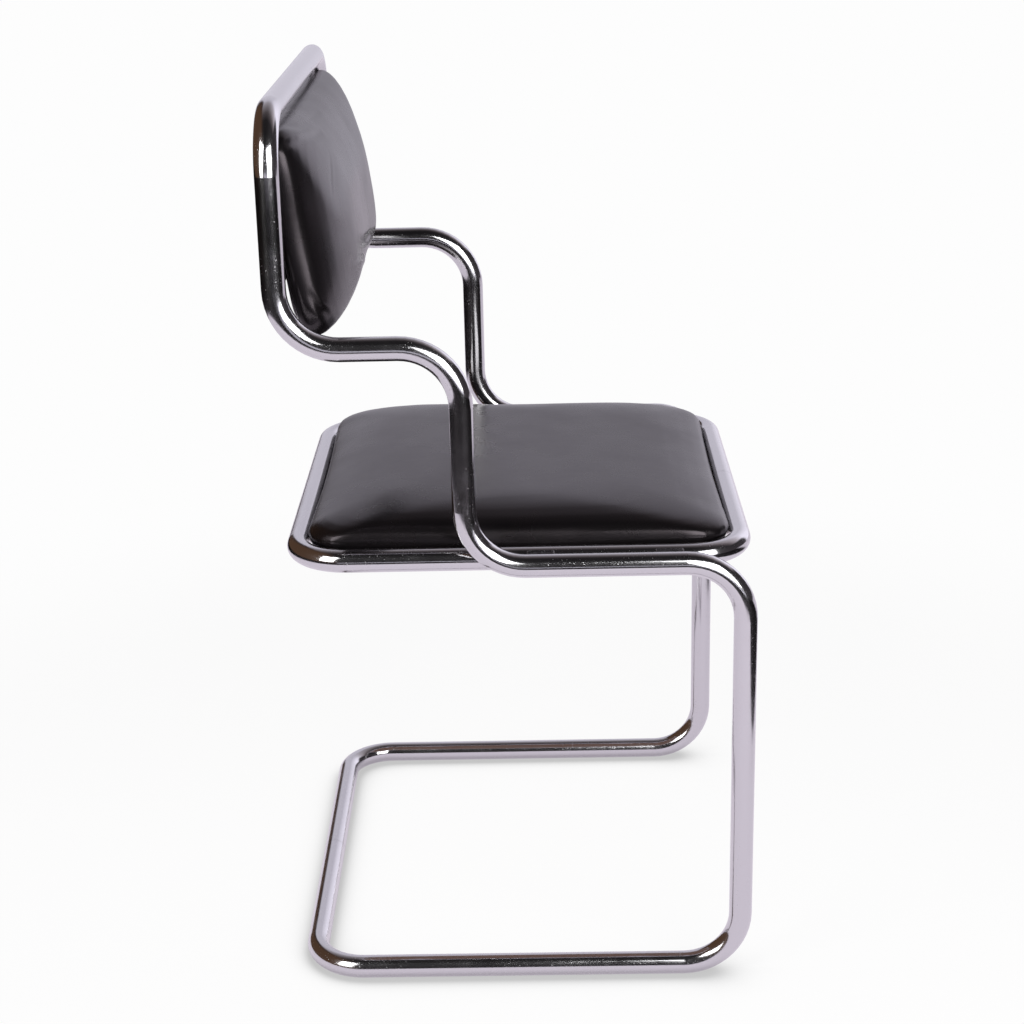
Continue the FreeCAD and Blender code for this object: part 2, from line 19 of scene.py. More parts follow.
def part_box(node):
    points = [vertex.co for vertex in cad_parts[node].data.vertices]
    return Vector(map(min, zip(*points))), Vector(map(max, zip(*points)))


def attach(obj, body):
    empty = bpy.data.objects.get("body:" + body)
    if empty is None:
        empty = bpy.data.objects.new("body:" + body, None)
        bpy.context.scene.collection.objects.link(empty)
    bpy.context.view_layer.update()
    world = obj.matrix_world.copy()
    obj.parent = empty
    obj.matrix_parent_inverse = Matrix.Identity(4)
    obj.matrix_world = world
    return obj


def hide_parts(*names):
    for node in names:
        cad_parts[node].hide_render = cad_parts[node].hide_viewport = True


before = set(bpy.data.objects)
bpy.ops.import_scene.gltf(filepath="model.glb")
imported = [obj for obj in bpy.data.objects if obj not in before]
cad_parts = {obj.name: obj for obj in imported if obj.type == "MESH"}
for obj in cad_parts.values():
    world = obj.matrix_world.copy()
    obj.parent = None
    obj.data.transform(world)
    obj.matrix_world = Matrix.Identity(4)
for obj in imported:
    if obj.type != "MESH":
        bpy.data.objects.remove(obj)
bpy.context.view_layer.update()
MM = 0.001

# %% [markdown]
# ## The camera
#
# The picture was taken from the chair's side, a little above it, with a long lens that keeps the tubes
# nearly parallel. The camera's place and turns come from matching straight tubes on both sides of the
# chair, and a small shift puts the chair where the picture has it.

# %% Camera
camera_place = Vector((-2.0249, -0.0154, 1.0974))
look_towards_rear = math.radians(1.329)
look_down = math.radians(19.761)
roll = math.radians(-1.486)
focal_length_px = 2078.6
picture_px = 1024
lens_axis_px = (489.09, 537.71)
sensor_width_mm = 36.0

camera_data = bpy.data.cameras.new("camera")
camera_data.sensor_width = sensor_width_mm
camera_data.lens = focal_length_px * sensor_width_mm / picture_px
camera_data.shift_x = 0.5 - lens_axis_px[0] / picture_px
camera_data.shift_y = lens_axis_px[1] / picture_px - 0.5
camera = bpy.data.objects.new("camera", camera_data)
bpy.context.collection.objects.link(camera)
heading = Matrix.Rotation(look_towards_rear - math.pi / 2, 3, "Z")
pitch = Matrix.Rotation(math.pi / 2 - look_down, 3, "X")
turn = heading @ pitch @ Matrix.Rotation(roll, 3, "Z")
camera.matrix_world = Matrix.Translation(camera_place) @ turn.to_4x4()
bpy.context.scene.camera = camera
bpy.context.scene.view_settings.view_transform = "Standard"
print("lens %.1f mm" % camera_data.lens)

# %% [markdown]
# ## Helpers for every material
#
# Colours are written as sRGB hex values, as a paint card gives them, and Blender's sockets want linear
# light. One function turns one into the other. A second one adds a node, sets it and links it in one
# line, and three short ones on top of it do sums, stretch a range of values and make soft noise. They
# keep the node trees below short enough to read.


# %% Colours and nodes
def linear(colour):
    """Linear red, green, blue and alpha of an sRGB hex value such as "#c8c4d0"."""
    channels = [int(colour[start:start + 2], 16) / 255 for start in (1, 3, 5)]
    return [c / 12.92 if c <= 0.04045 else ((c + 0.055) / 1.055) ** 2.4 for c in channels] + [1.0]


def add(tree, kind, inputs=None, stops=None, **settings):
    """Adds a node. inputs maps its sockets to values or to other sockets, and stops fills a ramp."""
    node = tree.nodes.new(kind)
    for name, value in settings.items():
        setattr(node, name, value)
    for key, value in (inputs or {}).items():
        if isinstance(value, bpy.types.NodeSocket):
            tree.links.new(value, node.inputs[key])
        else:
            node.inputs[key].default_value = value
    if stops:
        while len(node.color_ramp.elements) < len(stops):
            node.color_ramp.elements.new(1.0)
        for element, (position, colour) in zip(node.color_ramp.elements, stops):
            element.position = position
            element.color = linear(colour)
    return node


def maths(tree, operation, *values):
    """The result of a Math node. The values are numbers or other sockets."""
    return add(tree, "ShaderNodeMath", dict(enumerate(values)), operation=operation).outputs[0]


def remap(tree, value, between, to=(0.0, 1.0), smooth=False):
    """Turns one range of a value into another, in a straight line or with soft ends."""
    return add(tree, "ShaderNodeMapRange", {
        "Value": value, "From Min": between[0], "From Max": between[1], "To Min": to[0], "To Max": to[1],
    }, interpolation_type="SMOOTHSTEP" if smooth else "LINEAR").outputs[0]


def scaled(tree, coordinates, factors):
    """Coordinates times a factor for each direction. Noise is squeezed where the factor is large."""
    return add(tree, "ShaderNodeVectorMath", {0: coordinates, 1: factors}, operation="MULTIPLY").outputs[0]


def soft_noise(tree, coordinates, size, detail):
    """Cloudy noise between 0 and 1, whose clouds are about as large as size."""
    return add(tree, "ShaderNodeTexNoise", {
        "Vector": coordinates, "Scale": 1 / size, "Detail": detail,
    }).outputs["Fac"]


def new_material(name):
    """An empty material, its node tree and its output node."""
    material = bpy.data.materials.new(name)
    material.use_nodes = True
    material.node_tree.nodes.clear()
    output = material.node_tree.nodes.new("ShaderNodeOutputMaterial")
    return material, material.node_tree, output


# %% [markdown]
# ## The studio
#
# Bright chrome has no colour of its own: it shows the room. The picture's tubes tell what stood round
# the chair. White paper lies under it and rises behind it, wider towards the chair's front than towards
# its rear, where a brown wall begins. A large softbox stands on each side of the camera, and the rest
# of the room is dark. The world shader paints the paper and the walls by direction, so they are nowhere
# in the way of another view, and the softboxes are area lamps. Straight from the camera the world is
# plain white.
#
# A direction has paper in it if its height, or a share of its reach to the sides, is more than its
# reach to the rear or front times the cut.

# %% World
paper_cut_rear, paper_cut_front = 1.9, 0.62
paper_cut_sides = 0.75
paper_edge_softness = 0.08
rear_wall_begins = (0.30, 0.55)
rear_wall_share = 0.85
front_ends = (-0.60, -0.15)
front_brightness, rear_brightness = 1.5, 0.82

world = bpy.data.worlds.new("studio")
bpy.context.scene.world = world
world.use_nodes = True
tree = world.node_tree
tree.nodes.clear()
direction = add(tree, "ShaderNodeTexCoord").outputs["Generated"]
towards = add(tree, "ShaderNodeSeparateXYZ", {0: direction}).outputs
over_chair = maths(tree, "ARCTAN2", towards["Z"], towards["X"])
half_turn = maths(tree, "DIVIDE", over_chair, math.pi)
paper_and_ceiling = add(tree, "ShaderNodeValToRGB", {"Fac": half_turn}, stops=[
    (0.19, "#f2eefb"), (0.26, "#b9b3ba"), (0.34, "#8f888c"), (0.41, "#5d5658"),
    (0.50, "#2b282a"), (0.66, "#1d1b1d"), (0.97, "#2b282b"),
]).outputs[0]
walls = add(tree, "ShaderNodeValToRGB", {"Fac": towards["Z"]}, stops=[
    (0.0, "#353134"), (0.5, "#2c292b"), (1.0, "#2a2729"),
]).outputs[0]
to_rear = maths(tree, "MULTIPLY", towards["Y"], paper_cut_rear)
to_front = maths(tree, "MULTIPLY", towards["Y"], -paper_cut_front)
aside = maths(tree, "MAXIMUM", to_rear, to_front)
level = maths(tree, "ABSOLUTE", towards["X"])
level = maths(tree, "MULTIPLY", level, paper_cut_sides)
level = maths(tree, "MAXIMUM", level, towards["Z"])
past_edge = maths(tree, "SUBTRACT", aside, level)
in_paper = remap(tree, past_edge, (-paper_edge_softness, paper_edge_softness), (1.0, 0.0), smooth=True)
room = add(tree, "ShaderNodeMix", {
    "Factor": in_paper, "A": walls, "B": paper_and_ceiling,
}, data_type="RGBA").outputs["Result"]
towards_rear = remap(tree, towards["Y"], rear_wall_begins, (0.0, rear_wall_share))
room = add(tree, "ShaderNodeMix", {
    "Factor": towards_rear, "A": room, "B": linear("#6a4f3c"),
}, data_type="RGBA").outputs["Result"]
brighter_in_front = remap(tree, towards["Y"], front_ends, (front_brightness, rear_brightness))
room_light = add(tree, "ShaderNodeBackground", {"Color": room, "Strength": brighter_in_front})
plain_white = add(tree, "ShaderNodeBackground", {"Color": linear("#fdfdfd"), "Strength": 1.0})
ray = add(tree, "ShaderNodeLightPath").outputs
straight = maths(tree, "MAXIMUM", ray["Is Camera Ray"], ray["Is Transmission Ray"])
shown = add(tree, "ShaderNodeMixShader", {
    0: straight, 1: room_light.outputs[0], 2: plain_white.outputs[0],
})
add(tree, "ShaderNodeOutputWorld", {"Surface": shown.outputs[0]})


# %% Softboxes
lit_point = Vector((0.0, 0.0, 0.45))
watts_per_brightness = 4.0


def softbox(name, heading_degrees, up_degrees, distance, width, height, brightness):
    """A rectangular lamp that faces the chair. A brightness of 1 is white paper's."""
    heading = math.radians(heading_degrees)
    up = math.radians(up_degrees)
    flat = Vector((math.cos(heading), math.sin(heading), 0.0))
    data = bpy.data.lights.new(name, "AREA")
    data.shape = "RECTANGLE"
    data.size = width
    data.size_y = height
    data.energy = watts_per_brightness * width * height * brightness
    lamp = bpy.data.objects.new(name, data)
    lamp.location = lit_point + distance * (flat * math.cos(up) + Vector((0, 0, math.sin(up))))
    lamp.rotation_euler = (lit_point - lamp.location).to_track_quat("-Z", "Y").to_euler()
    lamp.visible_camera = False
    bpy.context.collection.objects.link(lamp)
    print("%s: %.2f x %.2f m, %.0f W" % (name, width, height, data.energy))
    return lamp


softbox("softbox_right_of_camera", -149, 22, 2.5, 1.75, 1.75, 4.0)
softbox("softbox_left_of_camera", 139, 24, 2.4, 1.0, 1.7, 4.0)

# %% [markdown]
# ## The floor
#
# The chair stands on white paper, which the picture shows as plain white with a thin soft shadow along
# each tube that touches it. Most of the floor's white is given by emission that only the camera sees,
# and a diffuse share under it still takes the chair's shadow. Ambient occlusion deepens that shadow
# close to the tubes. In the tubes the paper is a lit sheet that ends a stride from the chair, runs on
# behind it, and has a dark room beyond its edges.

# %% Floor
floor_half_size = 6.0
mesh = bpy.data.meshes.new("floor")
corners = [(-1, -1, 0), (1, -1, 0), (1, 1, 0), (-1, 1, 0)]
mesh.from_pydata([[floor_half_size * v for v in corner] for corner in corners], [], [(0, 1, 2, 3)])
floor = bpy.data.objects.new("floor", mesh)
bpy.context.collection.objects.link(floor)

# %% White paper
white = linear("#fdfdfd")
lit_share = 0.07
mirrored_glow = 0.80
shadow_reach = 75 * MM
paper_round_edge = (1.35, 1.5)
paper_front_edge = (-0.80, -0.76)
paper_rear_edge = (0.9, 1.2)
paper_runs_on = (0.3, 0.6)

material, tree, output = new_material("white_paper")
place = add(tree, "ShaderNodeNewGeometry").outputs["Position"]
spot = add(tree, "ShaderNodeSeparateXYZ", {0: place}).outputs
from_middle = add(tree, "ShaderNodeVectorMath", {0: place}, operation="LENGTH").outputs["Value"]
near_chair = remap(tree, from_middle, (0.7, 1.3), (1.0, 0.0), smooth=True)
light_from = Vector((0.55, 0.42, 0.72)).normalized()
near_tube = add(tree, "ShaderNodeAmbientOcclusion", {
    "Distance": shadow_reach, "Normal": light_from,
}, samples=24).outputs["AO"]
contact = remap(tree, near_tube, (0.45, 0.95), (0.55, 1.0), smooth=True)
glow = maths(tree, "MULTIPLY", contact, 1 - 0.75 * lit_share)
glow = add(tree, "ShaderNodeEmission", {"Color": white, "Strength": glow})
lit = add(tree, "ShaderNodeBsdfDiffuse", {"Color": [lit_share] * 3 + [1.0]})
seen_near = add(tree, "ShaderNodeAddShader", {0: glow.outputs[0], 1: lit.outputs[0]})
seen_far = add(tree, "ShaderNodeEmission", {"Color": white, "Strength": 1.0})
seen = add(tree, "ShaderNodeMixShader", {0: near_chair, 1: seen_far.outputs[0], 2: seen_near.outputs[0]})
front_edge = remap(tree, spot["Y"], paper_front_edge, smooth=True)
round_edge = remap(tree, from_middle, paper_round_edge, (1.0, 0.0), smooth=True)
behind_chair = remap(tree, spot["X"], paper_runs_on, smooth=True)
on_paper = maths(tree, "MULTIPLY", front_edge, round_edge)
rear_edge = remap(tree, spot["Y"], paper_rear_edge, (1.0, 0.0), smooth=True)
behind_chair = maths(tree, "MULTIPLY", behind_chair, rear_edge)
on_paper = maths(tree, "MAXIMUM", on_paper, behind_chair)
sheet = add(tree, "ShaderNodeMix", {
    "Factor": on_paper, "A": linear("#252224"), "B": linear("#8a8689"),
}, data_type="RGBA").outputs["Result"]
sheet = add(tree, "ShaderNodeBsdfDiffuse", {"Color": sheet})
bounce = maths(tree, "MULTIPLY", on_paper, mirrored_glow)
bounce = maths(tree, "MULTIPLY", bounce, contact)
bounce = add(tree, "ShaderNodeEmission", {"Color": linear("#f6eefb"), "Strength": bounce})
reflected = add(tree, "ShaderNodeAddShader", {0: sheet.outputs[0], 1: bounce.outputs[0]})
ray = add(tree, "ShaderNodeLightPath").outputs
shown = add(tree, "ShaderNodeMixShader", {
    0: ray["Is Camera Ray"], 1: reflected.outputs[0], 2: seen.outputs[0],
})
tree.links.new(shown.outputs[0], output.inputs["Surface"])
floor.data.materials.append(material)

# %% [markdown]
# ## Chrome plate
#
# Chromed steel tube is polished before it is plated, so it is nearly a mirror. After years of hands
# and heels it has a faint haze, hair scratches in every direction and tiny pits. The haze varies the
# roughness over some centimetres, and a half coat with a rougher surface adds the milky veil of old
# plate. Hairs and pits gather in worn patches. The hairs are stretched noise cut to thin, faint lines,
# and the pits are soft round spots about 1 mm across.


# %% Chrome
scratch_band = 0.006  # of the noise's range from 0 to 1
scratch_strength = 0.22
mark_roughness = 0.50


def scratches(tree, coordinates, stretch, amount):
    """Thin lines across one direction: noise squeezed in two directions, cut to a narrow band."""
    field = soft_noise(tree, scaled(tree, coordinates, stretch), 1.0, 2.0)
    off_centre = maths(tree, "SUBTRACT", field, 0.5)
    distance = maths(tree, "ABSOLUTE", off_centre)
    return remap(tree, distance, (0.0, scratch_band), (amount, 0.0))


chrome, tree, output = new_material("chrome_plate")
where = add(tree, "ShaderNodeTexCoord").outputs["Object"]
haze_size = 30 * MM
haze_roughness = remap(tree, soft_noise(tree, where, haze_size, 3.0), (0.35, 0.75), (0.09, 0.17))
along, across = 1 / (25 * MM), 1 / (3 * MM)
hairs = scratches(tree, where, (across, along, across), 1.0)
for stretch in ((across, across, along), (along, across, across)):
    more = scratches(tree, where, stretch, 0.8)
    hairs = maths(tree, "MAXIMUM", hairs, more)
patch_size = 45 * MM
worn = remap(tree, soft_noise(tree, where, patch_size, 2.0), (0.35, 0.62))
hairs = maths(tree, "MULTIPLY", hairs, worn)
hairs = maths(tree, "MULTIPLY", hairs, scratch_strength)
pit_spacing = 2.6 * MM
cells = add(tree, "ShaderNodeTexVoronoi", {"Vector": where, "Scale": 1 / pit_spacing})
pit = remap(tree, cells.outputs["Distance"], (0.10, 0.26), (0.8, 0.0))
chosen = add(tree, "ShaderNodeSeparateColor", {"Color": cells.outputs["Color"]}).outputs[0]
chosen = maths(tree, "GREATER_THAN", chosen, 0.55)
pits = maths(tree, "MULTIPLY", pit, chosen)
pits = maths(tree, "MULTIPLY", pits, worn)
marks = maths(tree, "MAXIMUM", hairs, pits)
roughness = maths(tree, "MULTIPLY", marks, mark_roughness)
roughness = maths(tree, "ADD", roughness, haze_roughness)
sunk = add(tree, "ShaderNodeBump", {
    "Height": marks, "Strength": 0.2, "Distance": 0.05 * MM,
}, invert=True).outputs["Normal"]
shader = add(tree, "ShaderNodeBsdfPrincipled", {
    "Base Color": linear("#cac9cc"), "Metallic": 1.0, "Roughness": roughness, "Normal": sunk,
    "Coat Weight": 0.5, "Coat Roughness": 0.35,
})
tree.links.new(shader.outputs[0], output.inputs["Surface"])

# %% [markdown]
# ## Black hide
#
# Furniture hide is dyed through, sealed and pressed smooth. It looks near black where it faces the
# camera and turns grey where it mirrors the paper at a flat angle, which plain Fresnel gives. The
# grain is fine cells about 1 mm apart, with soft stretch wrinkles a centimetre or two long over it.

# %% Black leather
leather, tree, output = new_material("black_leather")
where = add(tree, "ShaderNodeTexCoord").outputs["Object"]
tone_size = 60 * MM
tone = soft_noise(tree, where, tone_size, 4.0)
dye = add(tree, "ShaderNodeValToRGB", {"Fac": tone}, stops=[(0.3, "#080708"), (0.7, "#100e0f")])
grain_size = 0.9 * MM
grain = add(tree, "ShaderNodeTexVoronoi", {
    "Vector": where, "Scale": 1 / grain_size, "Smoothness": 0.7,
}, feature="SMOOTH_F1").outputs["Distance"]
long_folds = scaled(tree, where, (1.0, 0.35, 1.0))
wrinkle_size = 9 * MM
wrinkles = add(tree, "ShaderNodeTexNoise", {
    "Vector": long_folds, "Scale": 1 / wrinkle_size, "Detail": 5.0, "Roughness": 0.6, "Distortion": 0.6,
}).outputs["Fac"]
grain_bump = add(tree, "ShaderNodeBump", {"Height": grain, "Strength": 0.08, "Distance": 0.12 * MM})
folded = add(tree, "ShaderNodeBump", {
    "Height": wrinkles, "Strength": 0.06, "Distance": 1.0 * MM, "Normal": grain_bump.outputs["Normal"],
}).outputs["Normal"]
polish = remap(tree, tone, (0.3, 0.7), (0.31, 0.25))
shader = add(tree, "ShaderNodeBsdfPrincipled", {
    "Base Color": dye.outputs[0], "Roughness": polish, "IOR": 1.5, "Normal": folded,
    "Specular Tint": (1.0, 0.88, 0.95, 1.0),
})
tree.links.new(shader.outputs[0], output.inputs["Surface"])

# %% [markdown]
# ## Small metals, plywood and bottoming cloth
#
# The fastenings are zinc plated, which is a soft grey metal with a fine crystal pattern. The sleeves
# in the tube joints are plain drawn steel. The boards are pale birch plywood with long grain across
# the chair. The cloth under the seat is brown, because the picture's chromed runners mirror it so.


# %% Zinc and steel
def dull_metal(name, colour, crystal_size, smoothest, roughest):
    """A grey metal whose roughness changes from crystal to crystal."""
    material, tree, output = new_material(name)
    where = add(tree, "ShaderNodeTexCoord").outputs["Object"]
    crystals = add(tree, "ShaderNodeTexVoronoi", {"Vector": where, "Scale": 1 / crystal_size})
    pick = add(tree, "ShaderNodeSeparateColor", {"Color": crystals.outputs["Color"]}).outputs[0]
    roughness = remap(tree, pick, (0.0, 1.0), (smoothest, roughest))
    bump = add(tree, "ShaderNodeBump", {"Height": pick, "Strength": 0.1, "Distance": 0.05 * MM})
    shader = add(tree, "ShaderNodeBsdfPrincipled", {
        "Base Color": linear(colour), "Metallic": 1.0,
        "Roughness": roughness, "Normal": bump.outputs["Normal"],
    })
    tree.links.new(shader.outputs[0], output.inputs["Surface"])
    return material


zinc = dull_metal("zinc_plate", "#c6c8ca", 0.8 * MM, 0.22, 0.40)
steel = dull_metal("drawn_steel", "#a6a5a3", 1.5 * MM, 0.30, 0.45)

# %% Plywood
plywood, tree, output = new_material("birch_plywood")
where = add(tree, "ShaderNodeTexCoord").outputs["Object"]
fibre_width = 2.5 * MM
fibres = soft_noise(tree, scaled(tree, where, (0.06, 1.0, 1.0)), fibre_width, 4.0)
wood = add(tree, "ShaderNodeValToRGB", {"Fac": fibres}, stops=[
    (0.35, "#b08a5c"), (0.65, "#d8b888"),
]).outputs[0]
fibre_bump = add(tree, "ShaderNodeBump", {"Height": fibres, "Strength": 0.2, "Distance": 0.1 * MM})
shader = add(tree, "ShaderNodeBsdfPrincipled", {
    "Base Color": wood, "Roughness": 0.6, "Normal": fibre_bump.outputs["Normal"],
})
tree.links.new(shader.outputs[0], output.inputs["Surface"])

# %% Brown cloth
dust_cloth, tree, output = new_material("dust_cloth")
where = add(tree, "ShaderNodeTexCoord").outputs["Object"]
thread_spacing = 1.2 * MM
patch_size = 6 * MM
dimples = add(tree, "ShaderNodeTexVoronoi", {"Vector": where, "Scale": 1 / thread_spacing})
felt = soft_noise(tree, where, patch_size, 6.0)
shade = add(tree, "ShaderNodeValToRGB", {"Fac": felt}, stops=[(0.3, "#6f5a4c"), (0.7, "#8a7160")])
weave = add(tree, "ShaderNodeBump", {
    "Height": dimples.outputs["Distance"], "Strength": 0.5, "Distance": 0.2 * MM,
})
shader = add(tree, "ShaderNodeBsdfPrincipled", {
    "Base Color": shade.outputs[0], "Roughness": 0.9, "Sheen Weight": 0.2,
    "Normal": weave.outputs["Normal"],
})
tree.links.new(shader.outputs[0], output.inputs["Surface"])

# %% Finish the measured metal and wood
finishes = {
    "frame_tube": chrome, "seat_frame_tube": chrome,
    "seat_spacer": chrome, "seat_tab": chrome, "back_tab": chrome,
    "frame_joint_sleeve": steel, "seat_frame_joint_sleeve": steel,
    "frame_rivet_nuts": zinc, "frame_screws": zinc, "seat_tee_nuts": zinc, "seat_washers": zinc,
    "seat_screws": zinc, "back_tee_nuts": zinc, "back_washers": zinc, "back_screws": zinc,
    "seat_board": plywood, "back_board": plywood,
}
for name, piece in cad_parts.items():
    for start, finish in finishes.items():
        if name.startswith(start):
            piece.data.materials.clear()
            piece.data.materials.append(finish)

# %% [markdown]
# ## How the pads are made
#
# A cushion is a crowned closed form: a flat bottom on its board, upright sides that draw in a little
# between the corners, and a crown of foam under stretched hide. Each pad starts as rings of points
# round rounded rectangles. A voxel remesh gives it an even skin, and a short cloth simulation with
# pressure inside swells the skin as foam does. No point may move further than a set cap, and the moves
# are evened out over the skin so that it stays smooth.


# %% Rings round a pad
def ring(half_x, half_y, radius, height, draw, per_corner=8, per_side=24):
    """Points round a rounded rectangle whose straight sides draw in towards their middles."""
    points = []
    for quarter in range(4):
        side, reach = (half_x, half_y) if quarter % 2 == 0 else (half_y, half_x)
        straight, corner_back = side - radius, reach - radius
        outline = []
        for step in range(per_side):
            along = -1 + 2 * step / per_side
            inward = draw * math.cos(along * math.pi / 2) ** 2
            outline.append((along * straight, -reach + inward))
        for step in range(per_corner):
            angle = math.pi / 2 * step / per_corner
            outline.append((straight + radius * math.sin(angle), -corner_back - radius * math.cos(angle)))
        for x, y in outline:
            for _ in range(quarter):
                x, y = -y, x
            points.append((x, y, height))
    return points


def closed_skin(name, rings):
    """A closed mesh through the rings, with a flat face at each end."""
    count = len(rings[0])
    faces = [list(reversed(range(count)))]
    for level in range(len(rings) - 1):
        for i in range(count):
            j = (i + 1) % count
            low, high = level * count, (level + 1) * count
            faces.append((low + i, low + j, high + j, high + i))
    faces.append([(len(rings) - 1) * count + i for i in range(count)])
    mesh = bpy.data.meshes.new(name)
    mesh.from_pydata([point for level in rings for point in level], [], faces)
    piece = bpy.data.objects.new(name, mesh)
    bpy.context.collection.objects.link(piece)
    return piece


def settle(piece):
    """Replaces a piece's mesh by what its modifiers make of it, and drops them."""
    bpy.context.view_layer.update()
    made = bpy.data.meshes.new_from_object(piece.evaluated_get(bpy.context.evaluated_depsgraph_get()))
    piece.modifiers.clear()
    piece.data = made
    return piece


def evened(mesh, field, passes):
    """Evens out a vector at every point of a mesh, along its edges."""
    ends = np.empty(len(mesh.edges) * 2, np.int32)
    mesh.edges.foreach_get("vertices", ends)
    first, second = ends.reshape(-1, 2).T
    here, there = np.concatenate([first, second]), np.concatenate([second, first])
    count = np.bincount(here, minlength=len(field))[:, None]
    for _ in range(passes):
        total = np.column_stack([np.bincount(here, field[there, axis], len(field)) for axis in range(3)])
        field = 0.5 * field + 0.5 * total / np.maximum(count, 1)
    return field


def get_points(mesh):
    """The points of a mesh, one row for each."""
    flat = np.empty(len(mesh.vertices) * 3, np.float32)
    mesh.vertices.foreach_get("co", flat)
    return flat.reshape(-1, 3).astype(float)


def set_points(mesh, points):
    """Moves the points of a mesh to new places."""
    mesh.vertices.foreach_set("co", points.astype(np.float32).ravel())
    mesh.update()


# %% Remesh and inflate a pad
def even_skin(piece, voxel):
    """Gives a piece an even skin of small quads."""
    remesh = piece.modifiers.new("even skin", "REMESH")
    remesh.mode = "VOXEL"
    remesh.voxel_size = voxel
    remesh.use_smooth_shade = True
    settle(piece)
    relax = piece.modifiers.new("relax", "SMOOTH")
    relax.iterations = 2
    return settle(piece)


def inflate(piece, held, pressure, stretch, cap, frames=20, passes=60):
    """Fills a closed skin as foam does: cloth under pressure, with the held points kept in place."""
    scene = bpy.context.scene
    start = get_points(piece.data)
    group = piece.vertex_groups.new(name="held")
    for index in np.nonzero(held > 0)[0]:
        group.add([int(index)], float(held[index]), "REPLACE")
    cloth = piece.modifiers.new("cloth", "CLOTH")
    cloth.settings.vertex_group_mass = group.name
    cloth.settings.use_pressure = True
    cloth.settings.uniform_pressure_force = pressure
    cloth.settings.effector_weights.gravity = 0.0
    cloth.settings.shrink_min = -stretch
    cloth.settings.mass = 0.4
    cloth.settings.bending_stiffness = 0.3
    cloth.settings.tension_stiffness = 25.0
    cloth.settings.compression_stiffness = 25.0
    cloth.settings.shear_stiffness = 12.0
    cloth.point_cache.frame_start = 1
    cloth.point_cache.frame_end = frames
    for frame_number in range(1, frames + 1):
        scene.frame_set(frame_number)
    moved = piece.evaluated_get(bpy.context.evaluated_depsgraph_get())
    end = get_points(moved.data)
    piece.modifiers.clear()
    scene.frame_set(1)
    move = end - start
    length = np.linalg.norm(move, axis=1, keepdims=True)
    move *= cap * np.tanh(length / cap) / np.maximum(length, 1e-9)
    move = evened(piece.data, move, passes)
    set_points(piece.data, start + move)
    print("%s: skin moved up to %.1f mm" % (piece.name, 1000 * np.linalg.norm(move, axis=1).max()))


def subdivided(piece):
    """One subdivision, and smooth shading."""
    piece.modifiers.new("finer", "SUBSURF").levels = 1
    settle(piece)
    piece.data.shade_smooth()
    return piece


# %% [markdown]
# ## Crown height and folds
#
# Two steps finish the shape of a pad. The first stretches its crown to a set height. The second
# presses soft folds into the hide, as it has where it is pulled round a corner or sat against. A fold
# follows a path of points near the skin. It is a groove with a low ridge on one side, and it fades out
# towards both ends.


# %% Fit the height and press folds
def fit_height(piece, edge, top):
    """Brings the highest point of a piece to top, and leaves all that is below edge."""
    points = get_points(piece.data)
    above = points[:, 2] > edge
    points[above, 2] = edge + (points[above, 2] - edge) * (top - edge) / (points[:, 2].max() - edge)
    set_points(piece.data, points)


def press_folds(piece, folds, steps_along=90, ridge_offset=1.6, fade_power=0.6):
    """Presses soft folds into a skin. A fold is its path, width, depth and ridge height, all in mm."""
    mesh = piece.data
    faces = [tuple(face.vertices) for face in mesh.polygons]
    skin = BVHTree.FromPolygons([vertex.co.copy() for vertex in mesh.vertices], faces)
    points = get_points(mesh)
    normals = np.array([vertex.normal[:] for vertex in mesh.vertices])
    move = np.zeros(len(points))
    for path, width, depth, ridge in folds:
        corners = np.array(path) * MM
        width, depth, ridge = width * MM, depth * MM, ridge * MM
        lengths = np.linalg.norm(np.diff(corners, axis=0), axis=1)
        along = np.concatenate([[0.0], np.cumsum(lengths)])
        steps = np.linspace(0.0, along[-1], steps_along)
        line = np.column_stack([np.interp(steps, along, corners[:, axis]) for axis in range(3)])
        line = np.array([skin.find_nearest(Vector(point))[0][:] for point in line])
        tangent = np.gradient(line, axis=0)
        away = points[:, None, :] - line[None, :, :]
        distance = np.linalg.norm(away, axis=2)
        nearest = distance.argmin(axis=1)
        near = distance.min(axis=1)
        from_nearest = away[np.arange(len(points)), nearest]
        side = np.einsum("ij,ij->i", np.cross(normals, tangent[nearest]), from_nearest)
        fade = np.sin(math.pi * np.clip((nearest + 0.5) / steps_along, 0, 1)) ** fade_power
        signed = near * np.sign(side)
        raised = ridge * np.exp(-((signed - ridge_offset * width) / width) ** 2)
        sunk = depth * np.exp(-(near / width) ** 2)
        move += fade * (raised - sunk)
    set_points(mesh, points + normals * move[:, None])


# %% [markdown]
# ## The seat cushion
#
# The seat is square with round corners and sits down inside its tube frame. Its sides stand upright on
# the board, swell a few millimetres over the tube and then roll over into the crown. Across the chair
# the crown is boxy and reaches its height 75 mm in from each side. From front to rear it rises more
# gently, over 150 mm, and it is a little higher at the rear. The cushion takes its width and depth from
# the measured cover. Its crown is 9 mm lower in the middle, which is where the picture's outline is.

